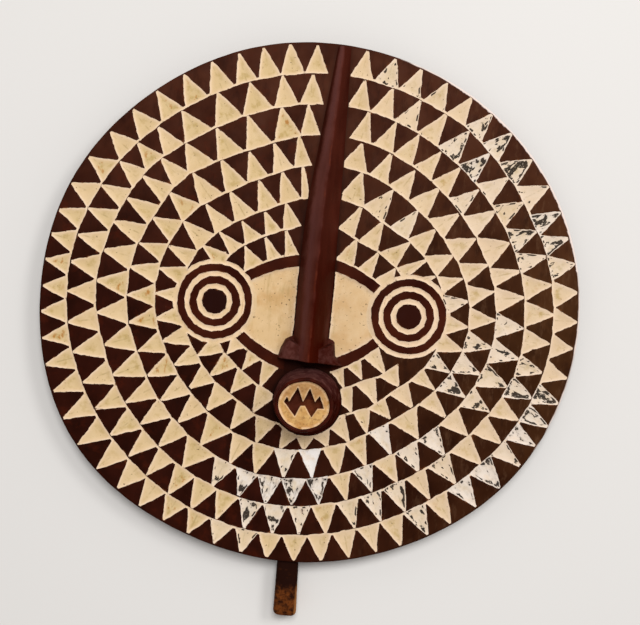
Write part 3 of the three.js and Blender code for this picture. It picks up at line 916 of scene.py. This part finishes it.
class Finish:
    """A node material whose colour is laid on in layers."""

    def __init__(self, name, roughness=0.6, specular=0.5):
        self.material = bpy.data.materials.new(name)
        self.material.use_nodes = True
        self.tree = self.material.node_tree
        self.surface = self.tree.nodes["Principled BSDF"]
        self.surface.inputs["Roughness"].default_value = roughness
        self.surface.inputs["Specular IOR Level"].default_value = specular
        self.spot = self.tree.nodes.new("ShaderNodeTexCoord").outputs["Object"]
        self.colour = None

    def node(self, kind, inputs=(), **settings):
        made = self.tree.nodes.new(kind)
        for key, value in settings.items():
            setattr(made, key, value)
        for key, value in dict(inputs).items():
            if isinstance(value, bpy.types.NodeSocket):
                self.tree.links.new(value, made.inputs[key])
            else:
                made.inputs[key].default_value = value
        return made

    def grain(self, size, detail=3.0, rough=0.55, squeeze=1.0, warp=0.0, offset=0, spot=None):
        """Noise from 0 to 1 with features of a size in millimetres, longer along Y for a squeeze under 1."""
        place = self.node("ShaderNodeMapping", {
            "Vector": spot or self.spot, "Scale": (1, squeeze, 1), "Location": (offset,) * 3})
        return self.node("ShaderNodeTexNoise", {
            "Vector": place.outputs[0], "Scale": 1000 / size, "Detail": detail, "Roughness": rough,
            "Distortion": warp}).outputs[0]

    def span(self, value, low, high, to_low=0.0, to_high=1.0):
        return self.node("ShaderNodeMapRange", {
            "Value": value, "From Min": low, "From Max": high, "To Min": to_low, "To Max": to_high},
            clamp=True).outputs[0]

    def patches(self, low, high, size, *shape, **more):
        """Soft patches of noise: 0 where it is under the low value, 1 where it is over the high one."""
        return self.span(self.grain(size, *shape, **more), low, high)

    def tone(self, size, *shape, **more):
        """The broad, gentle patches that shade a paint from one tone to another."""
        return self.patches(0.35, 0.65, size, *shape, **more)

    def stray(self, value, reach_down, reach_up, *shape, **more):
        """A value made uneven by noise."""
        return self.plus(value, self.span(self.grain(*shape, **more), 0.3, 0.7, -reach_down, reach_up))

    def calc(self, what, a, b=0.0):
        return self.node("ShaderNodeMath", {0: a, 1: b}, operation=what).outputs[0]

    def times(self, first, *others):
        for value in others:
            first = self.calc("MULTIPLY", first, value)
        return first

    def plus(self, a, b):
        return self.calc("ADD", a, b)

    def mix(self, share, a, b):
        a, b = (linear(*tint) if isinstance(tint, tuple) else tint for tint in (a, b))
        return self.node("ShaderNodeMix", {0: share, 6: a, 7: b}, data_type="RGBA").outputs[2]

    def lay(self, tint, *shares):
        """Covers the colour so far with another, by the product of the shares."""
        self.colour = self.mix(self.times(*shares), self.colour, tint)

    def value_of(self, name):
        return self.node("ShaderNodeAttribute", attribute_name=name).outputs["Fac"]

    def axis(self, index):
        """The place along X or Y, in metres."""
        return self.node("ShaderNodeSeparateXYZ", {0: self.spot}).outputs[index]

    def finish(self, bump=None, strength=0.3, distance=0.0006, rough=None):
        self.tree.links.new(self.colour, self.surface.inputs["Base Color"])
        if rough is not None:
            self.tree.links.new(rough, self.surface.inputs["Roughness"])
        if bump is not None:
            made = self.node("ShaderNodeBump", {"Height": bump, "Strength": strength, "Distance": distance})
            self.tree.links.new(made.outputs[0], self.surface.inputs["Normal"])
        return self.material


def dark_paint():
    """Dark brown paint over wood: red-brown on the left, with a painted sheen making it olive towards the
    right rim and plum at the top.
    """
    f = Finish("dark_brown_paint", 0.5, 0.02)
    across, up = f.axis(0), f.axis(1)
    tone = f.tone(38)
    left = f.mix(tone, (34, 9, 3), (50, 17, 8))
    # Painted sheen: lighter and olive towards the right rim, with painted shade darkening it low on the right
    right = f.mix(tone, (58, 31, 12), (74, 44, 21))
    low_right = f.mix(tone, (40, 15, 4), (56, 28, 12))
    right = f.mix(f.span(up, 0.04, -0.12, 0, 0.75), right, low_right)
    f.colour = f.mix(f.span(across, -0.03, 0.24), left, right)
    # Painted sheen: lighter plum towards the top
    f.lay(f.mix(tone, (62, 29, 17), (78, 42, 27)), f.span(up, 0.02, 0.24), 0.85)
    f.lay((26, 9, 5), f.patches(0.5, 0.7, 9, 5, 0.7, 0.4, offset=12), 0.45)
    f.lay((84, 28, 10), f.patches(0.55, 0.68, 16, 4, 0.65, offset=44), f.span(across, 0.1, -0.05), 0.25)
    f.lay((100, 70, 48), f.patches(0.53, 0.7, 6, 5, 0.7, 0.3, offset=31), f.span(across, 0.0, 0.2), 0.45)
    eye_part = f.value_of("eye_part")
    f.lay(f.mix(tone, (46, 12, 4), (66, 24, 10)), f.span(eye_part, 0.2, 0.4))
    pupil = f.mix(f.span(across, -0.05, 0.05), (36, 11, 6), (46, 15, 7))
    f.lay(pupil, f.span(eye_part, 0.7, 0.9))
    near_edge = f.span(f.value_of("paint_edge"), 0.0, 1.5, 1, 0)
    f.lay((130, 74, 36), near_edge, f.patches(0.56, 0.66, 8, 4, 0.7, offset=5), 0.75)
    f.lay((116, 82, 60), f.patches(0.68, 0.76, 5, 5, 0.75, 0.35, offset=9), 0.4)
    # Painted shade in the corners at the feet of the nose and mouth, and between the nostrils and the mouth
    f.lay((22, 5, 2), f.span(f.value_of("corner"), 0.2, 0.95, 0, 0.85))
    # A painted highlight along the rim's rounded edge on the upper right
    rim_gleam = f.stray(f.value_of("rim_highlight"), 0.16, 0.12, 30, 3, 0.6)
    f.lay((250, 232, 222), f.span(rim_gleam, 0.4, 0.65), 0.9)
    rough = f.span(f.grain(15), 0.3, 0.7, 0.4, 0.6)
    brushed = f.plus(f.grain(4, 5, 0.7, 0.22), f.times(f.grain(14, 2), 0.8))
    return f.finish(brushed, 0.22, 0.0007, rough)


def flaked_off(f, edge, flake, spot):
    """Where the cream is gone: torn streaks along the chip and short dashes at its edges."""
    hold = f.times(f.calc("POWER", f.calc("SUBTRACT", 1.0, flake), 1.6), -0.18)
    streaks = f.grain(4.4, 3, 0.5, 0.5, warp=0.4, spot=spot)
    broad = f.grain(11, 1, 0.5, 0.7, offset=3, spot=spot)
    inside = f.times(f.span(edge, 0.8, 2.0), f.span(edge, 4.4, 2.8))
    cover = f.plus(f.times(streaks, 0.68), f.times(broad, 0.32))
    cover = f.plus(f.plus(cover, hold), f.times(inside, 0.035))
    speckle = f.patches(0.31, 0.38, 1.9, 2, 0.6, offset=33, spot=spot)
    core = f.times(f.span(cover, 0.54, 0.556), f.times(f.span(edge, 0.9, 1.3), speckle))
    beside = f.times(f.span(edge, 0.5, 0.8), f.span(edge, 2.4, 1.9))
    rare = f.span(flake, 0.0, 0.35, -0.25, -0.01)
    dashes = f.plus(f.grain(4.6, 1, 0.5, 0.45, offset=20, spot=spot), rare)
    dashes = f.times(f.span(dashes, 0.585, 0.605), beside)
    return f.calc("MAXIMUM", core, dashes), f.span(cover, 0.46, 0.53)


def cream_paint():
    """Cream earth paint, darker and yellower towards the chips' middles, with painted shade in their valleys
    and painted highlights along their edges, and flaked to dark in places.
    """
    f = Finish("cream_earth_paint", 0.8, 0.12)
    names = ("paint_edge", "aside", "along", "luck", "panel", "whiteness")
    edge, aside, along, luck, panel, whiteness = [f.value_of(name) for name in names]
    spot = f.node("ShaderNodeCombineXYZ", {0: aside, 1: along, 2: luck}).outputs[0]
    side = f.span(f.axis(0), -0.05, 0.16)
    tone = f.tone(22, 4)
    left = f.mix(tone, (232, 203, 163), (223, 192, 148))
    right = f.mix(tone, (229, 203, 173), (222, 194, 161))
    f.colour = f.mix(side, left, right)
    # Darker and yellower away from the painted line, towards each chip's middle
    deep = f.times(f.span(edge, 1.3, 4.6), f.span(luck, 0.0, 0.9, 0.35, 1.0))
    deep = f.times(deep, f.span(panel, 0, 1, 1, 0.25))
    f.lay((204, 178, 122), deep, f.span(side, 0, 1, 0.6, 0.3))
    # Painted shade along the valley down each chip's middle
    valley = f.times(f.span(f.calc("ABSOLUTE", aside), 0.0001, 0.0011, 1, 0), f.span(edge, 1.0, 2.2))
    f.lay((158, 136, 84), valley, f.patches(0.48, 0.64, 8, 3, 0.6, offset=21), 0.5)
    f.lay((182, 154, 92), deep, f.patches(0.5, 0.66, 9, 3, 0.6, offset=2), 0.7)
    rusty = f.times(f.span(edge, 2.4, 4.0), f.span(luck, 0.82, 0.9))
    rusty = f.times(rusty, f.patches(0.55, 0.66, 5, 3, 0.6, 0.6, offset=7))
    f.lay((178, 118, 48), rusty, f.span(side, 0.2, 0.8, 0.85, 0.2))
    f.lay((222, 182, 122), panel, f.span(edge, 1.5, 6, 0, 0.4))
    brown = f.times(panel, f.patches(0.47, 0.64, 26, 5, 0.6, offset=8))
    f.lay((200, 154, 94), brown, f.span(side, 0.2, 0.6, 0.6, 0.3))
    f.lay((178, 148, 92), panel, f.patches(0.52, 0.7, 7, 5, 0.65, 0.25, offset=1), 0.5)
    speck = f.plus(f.grain(2.6, 2, 0.5, offset=4), f.times(panel, 0.035))
    f.lay((96, 70, 40), f.span(speck, 0.7, 0.74), 0.75)
    # A painted highlight along the cream's edges, where the chip walls catch the light
    f.lay((243, 216, 186), f.span(edge, 0.5, 2.2, 1, 0), f.span(f.grain(8), 0.3, 0.6, 0.15, 0.8))
    f.lay((240, 233, 226), whiteness, f.span(f.grain(9, offset=3), 0.3, 0.55, 0.5, 1))
    f.lay((90, 56, 32), f.patches(0.57, 0.64, 4, 4, 0.7, offset=14), f.span(edge, 1.0, 0.2), 0.85)
    gone, haze = flaked_off(f, edge, f.value_of("flake"), spot)
    f.lay((166, 154, 144), haze, f.span(whiteness, 0.4, 0.75, 0.0, 0.5))
    f.lay(f.mix(f.tone(5, offset=11), (20, 13, 9), (48, 35, 25)), gone, 0.96)
    ragged = f.stray(f.value_of("corner"), 0.35, 0.3, 4.5, 4, 0.7, offset=17)
    f.lay((58, 22, 16), f.span(ragged, 0.86, 0.92))
    height = f.calc("SUBTRACT", f.times(f.grain(5, 5, 0.65, 0.4), 0.7), f.times(gone, 0.5))
    return f.finish(height, 0.35, 0.0008)


def nose_paint():
    """Satin paint of the nose, partly its own colours and partly painted light: plum with a painted sheen
    down its left side, deep red-brown in painted shade on the right.
    """
    f = Finish("red_brown_paint", 0.4, 0.01)
    tone = f.tone(26, squeeze=0.3)
    upper = f.span(f.axis(1), 0.02, 0.11)
    across = f.stray(f.value_of("across"), 0.07, 0.07, 14)
    foot = f.mix(upper, (70, 30, 21), f.mix(tone, (50, 17, 10), (66, 26, 17)))
    low_plum = f.mix(tone, (80, 34, 26), (96, 46, 36))
    plum = f.mix(upper, low_plum, f.mix(tone, (82, 42, 36), (98, 54, 47)))
    f.colour = f.mix(f.span(across, -0.82, -0.6), foot, plum)
    # The right side darker and redder, partly its own paint and partly painted shade
    deep = f.mix(tone, (50, 9, 2), (66, 16, 5))
    right = f.mix(upper, deep, f.mix(tone, (52, 17, 10), (74, 30, 20)))
    f.lay(right, f.span(across, -0.2, 0.06))
    low_right = f.mix(tone, (64, 27, 19), (84, 42, 33))
    f.lay(low_right, f.span(across, 0.68, 0.86), f.span(f.axis(1), 0.05, 0.01), 0.8)
    # A painted highlight in streaks along the ridge
    ridge = f.span(f.calc("ABSOLUTE", f.plus(across, 0.04)), 0.02, 0.09, 1, 0)
    f.lay((106, 44, 22), ridge, f.patches(0.5, 0.64, 5, 4, 0.6, 0.25, offset=2), 0.45)
    # A painted sheen down the left side
    sheen = f.span(f.calc("ABSOLUTE", f.plus(across, 0.44)), 0.04, 0.24, 1, 0)
    f.lay((102, 62, 60), sheen, f.patches(0.35, 0.6, 20, squeeze=0.2, offset=6), 0.45)
    # The nostrils: the right one darker in painted shade, both with patchy painted highlights, weaker on the
    # right
    right_side = f.span(f.axis(0), -0.002, 0.014)
    lump = f.mix(right_side, (70, 31, 24), (58, 19, 12))
    lump_highlight = f.times(f.patches(0.42, 0.6, 8, 4, 0.6), f.span(right_side, 0, 1, 0.55, 0.35))
    f.lay(f.mix(lump_highlight, lump, (102, 62, 56)), f.span(f.value_of("lump"), 0.3, 0.7))
    rough = f.span(f.grain(9, squeeze=0.3), 0.3, 0.7, 0.3, 0.5)
    return f.finish(f.grain(3.5, 4, 0.6, 0.12), 0.25, 0.0006, rough)


def tube_paint():
    """The mouth's wall: plum with a painted sheen above, nearly black red-brown in painted shade below."""
    f = Finish("tube_paint", 0.6, 0.0)
    tone = f.tone(12, 4)
    deep = f.mix(tone, (46, 9, 4), (62, 19, 10))
    plum = f.mix(tone, (68, 32, 29), (92, 54, 50))
    above = f.stray(f.value_of("above"), 0.3, 0.3, 10, offset=5)
    f.colour = f.mix(f.span(above, -0.1, 0.9), deep, plum)
    # Patchy painted highlights on the upper side
    f.lay((116, 76, 68), f.patches(0.5, 0.64, 7, 4, 0.65, offset=15), f.span(above, -0.5, 0.6, 0.15, 0.55))
    return f.finish(f.grain(3.5, 4, 0.6))


def mouth_disc():
    """The ochre cream disc at the end of the mouth, in painted shade towards its top and paler along its
    lower edge with a painted highlight.
    """
    f = Finish("ochre_mouth_paint", 0.7, 0.12)
    f.colour = f.mix(f.patches(0.36, 0.64, 8, 4, 0.65), (214, 170, 106), (188, 136, 74))
    # Painted shade towards the top, under the lip
    f.lay((158, 116, 76), f.span(f.axis(1), -0.078, -0.056), 0.6)
    f.lay((128, 86, 48), f.patches(0.5, 0.66, 3.4, 5, 0.7, offset=2), 0.6)
    # A painted highlight along the disc's edge, weaker at the top, and paler along the teeth
    f.lay((240, 206, 166), f.span(f.value_of("disc_edge"), 0.0, 1.0), f.patches(0.34, 0.5, 7, offset=9), 0.85)
    return f.finish(f.grain(4, 4, 0.6))


def lip_paint():
    """The darkest paint, round the mouth's end."""
    f = Finish("dark_lip_paint", 0.4, 0.03)
    f.colour = f.mix(f.tone(12), (38, 8, 3), (66, 20, 10))
    return f.finish(f.grain(4, 4))


def mouth_inside():
    """The walls and floor of the zigzag opening, lighter at the lower right with painted light."""
    f = Finish("mouth_inside_paint", 0.6, 0.03)
    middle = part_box(NODE)[0].y - GRIP_END[1] * MM
    below = f.span(f.axis(1), middle - 0.0955, middle - 0.0962)
    lit = f.times(f.span(f.axis(0), -0.001, 0.004), below)
    f.colour = f.mix(lit, (82, 36, 22), f.mix(f.tone(10), (88, 40, 20), (112, 56, 30)))
    return f.finish(f.grain(4))


def grip_paint():
    """Dark at the board, worn to orange-brown wood towards the end."""
    f = Finish("worn_grip_paint", 0.5, 0.03)
    low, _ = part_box(NODE)
    worn = f.span(f.axis(1), low.y + 0.018, low.y + 0.036, 1, 0)
    worn = f.stray(worn, 0.45, 0.45, 9, 4, 0.65)
    wood = f.mix(f.patches(0.4, 0.6, 5, 5, 0.7, offset=3), (40, 16, 6), (104, 54, 20))
    f.colour = f.mix(f.span(worn, 0.2, 0.8), (32, 11, 5), wood)
    f.lay((150, 98, 52), f.span(f.axis(0), 0.0125, 0.0145), f.span(worn, 0.1, 0.6))
    return f.finish(f.grain(4, 5, 0.7, 0.2), 0.35, 0.0007)


def bare_back():
    """The back: bare stained wood with long grain."""
    f = Finish("stained_back_wood", 0.75, 0.25)
    fibres = f.grain(5, 5, 0.65, 0.05)
    f.colour = f.mix(f.span(fibres, 0.35, 0.68), (70, 44, 26), (122, 84, 52))
    f.lay((58, 36, 24), f.patches(0.4, 0.65, 70), 0.6)
    return f.finish(fibres, 0.4, 0.0008)


# Stage, light and camera

def floor():
    size, level = 4.0, -0.0003
    mesh = bpy.data.meshes.new("floor")
    corners = [(-size, -size, level), (size, -size, level), (size, size, level), (-size, size, level)]
    mesh.from_pydata(corners, [], [(0, 1, 2, 3)])
    plane = add_object("floor", mesh)
    f = Finish("pale_floor", 0.9, 0.1)
    f.colour = f.mix(f.patches(0.3, 0.7, 900, 1), (228, 226, 222), (231, 229, 225))
    mesh.materials.append(f.finish())


def area_light(name, spot, size, energy, colour):
    data = bpy.data.lights.new(name, "AREA")
    data.shape = "DISK"
    data.size = size
    data.energy = energy
    data.color = colour
    lamp = add_object(name, data)
    lamp.location = spot
    lamp.rotation_mode = "QUATERNION"
    lamp.rotation_quaternion = (-Vector(spot)).to_track_quat("-Z", "Y")


def lights():
    area_light("overhead", (0.1, 0.95, 2.9), 1.2, 48, (0.995, 0.99, 0.995))
    area_light("key", (1.6, 1.2, 2.4), 1.0, 23, (0.995, 0.99, 0.99))
    world = bpy.data.worlds.new("studio")
    world.use_nodes = True
    background = world.node_tree.nodes["Background"].inputs
    background["Color"].default_value = (1.0, 0.965, 0.96, 1)
    background["Strength"].default_value = 0.39
    bpy.context.scene.world = world
    bpy.context.scene.view_settings.view_transform = "Standard"


def camera():
    data = bpy.data.cameras.new("camera")
    data.sensor_width = SENSOR
    data.lens = SENSOR * CAMERA_DISTANCE / FRAME_WIDTH
    eye = add_object("camera", data)
    eye.location = placed([[*CAMERA_SPOT, FRONT + CAMERA_DISTANCE]])[0]
    eye.rotation_euler = (0, 0, math.radians(CAMERA_ROLL))
    bpy.context.scene.camera = eye


def build():
    for piece in (board(), nose(), mouth(), grip()):
        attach(piece, BODY)
        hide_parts(NODE)


build()
floor()
lights()
camera()
